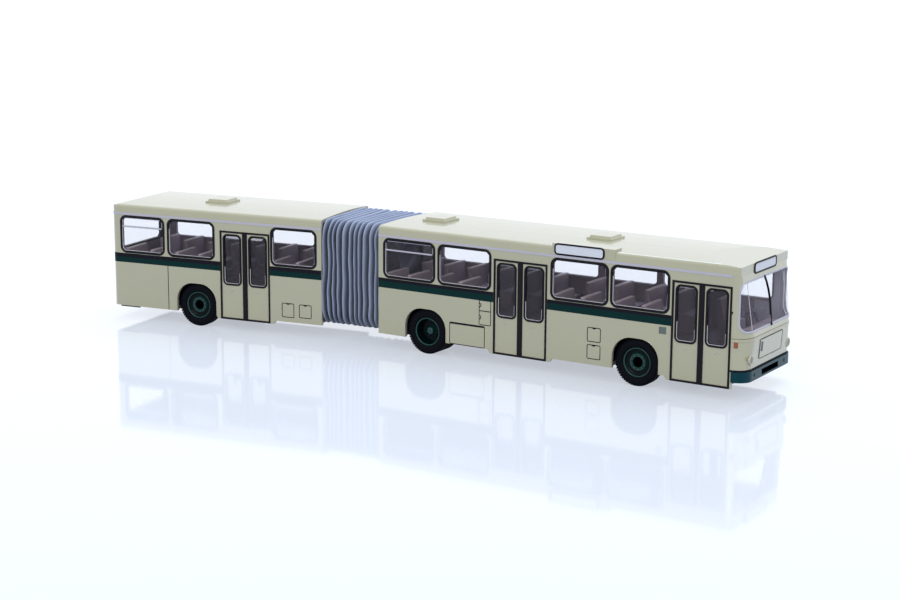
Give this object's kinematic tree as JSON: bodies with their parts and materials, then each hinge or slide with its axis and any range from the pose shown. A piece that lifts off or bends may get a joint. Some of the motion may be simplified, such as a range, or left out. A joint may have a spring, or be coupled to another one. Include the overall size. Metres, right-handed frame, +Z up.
{
  "type": "articulated bus, 1:87 scale model",
  "caption": "Articulated city bus as a scale model: hinged body sections joined by pleated bellows, glazed sides, double doors and wheels that roll on through axles.",
  "frame": {"origin": "on the ground, under the middle of the whole bus as it stands bent at its articulation", "axes": "+X towards the nose along the front section, +Z up, the doors on the -Y side"},
  "size_m": [0.191, 0.04, 0.0338],
  "materials": {
    "body_cream": "moulded plastic with a satin gloss",
    "seal_black": "printed black rubber",
    "seal_grey": "grey rubber",
    "clear_glass": "clear moulded plastic",
    "dark_green": "dark green moulded plastic",
    "interior_brown": "brown moulded plastic",
    "chassis_black": "black moulded plastic",
    "tyre_black": "black rubber",
    "bellows_grey": "blue-grey soft plastic",
    "lamp_clear": "clear lens over silver",
    "lamp_amber": "amber lens",
    "lamp_red": "red lens",
    "sign_white": "blank pale sign"
  },
  "bodies": {
    "front_section": {"front_side_right": "body_cream", "front_side_left": "body_cream", "front_roof": "body_cream", "front_window_seals": "seal_black", "front_side_glass": "clear_glass", "front_door_seals": "seal_black", "front_door_leaves": "body_cream", "front_door_glass": "clear_glass", "front_end_frame": "chassis_black", "front_roof_hatches": "body_cream", "nose_panel": "body_cream", "windscreen": "clear_glass", "windscreen_seal": "seal_grey", "bumper": "dark_green", "headlamps": "lamp_clear", "indicators": "lamp_amber", "front_sign": "sign_white", "side_sign": "sign_white", "front_interior": "interior_brown", "front_chassis": "chassis_black", "dashboard": "interior_brown", "steering_wheel": "chassis_black", "bellows": "bellows_grey"},
    "rear_section": {"rear_side_right": "body_cream", "rear_side_left": "body_cream", "rear_roof": "body_cream", "rear_window_seals": "seal_black", "rear_side_glass": "clear_glass", "rear_door_seals": "seal_black", "rear_door_leaves": "body_cream", "rear_door_glass": "clear_glass", "rear_end_frame": "chassis_black", "rear_roof_hatches": "body_cream", "tail_panel": "body_cream", "rear_window_seal": "seal_black", "rear_window": "clear_glass", "tail_lamps": "lamp_red", "rear_interior": "interior_brown", "rear_chassis": "chassis_black"},
    "front_axle_set": {"front_axle": "dark_green", "front_tyres": "tyre_black"},
    "middle_axle_set": {"middle_axle": "dark_green", "middle_tyres": "tyre_black"},
    "rear_axle_set": {"rear_axle": "dark_green", "rear_tyres": "tyre_black"}
  },
  "joints": [
    {"name": "articulation", "type": "hinge", "parent": "front_section", "child": "rear_section", "pos_m": [-0.01844, 0.00551, 0.00655], "axis": [0, 0, 1], "range_deg": [-53.8, 36.2], "deforming": ["bellows"]},
    {"name": "front_axle_spin", "type": "hinge", "parent": "front_section", "child": "front_axle_set", "pos_m": [0.06666, 0.00551, 0.00585], "axis": [0, 1, 0], "continuous": true},
    {"name": "middle_axle_spin", "type": "hinge", "parent": "front_section", "child": "middle_axle_set", "pos_m": [0.00631, 0.00551, 0.00585], "axis": [0, 1, 0], "continuous": true},
    {"name": "rear_axle_spin", "type": "hinge", "parent": "rear_section", "child": "rear_axle_set", "pos_m": [-0.06627, -0.0019, 0.00585], "axis": [-0.153, 0.9882, 0], "continuous": true}
  ]
}
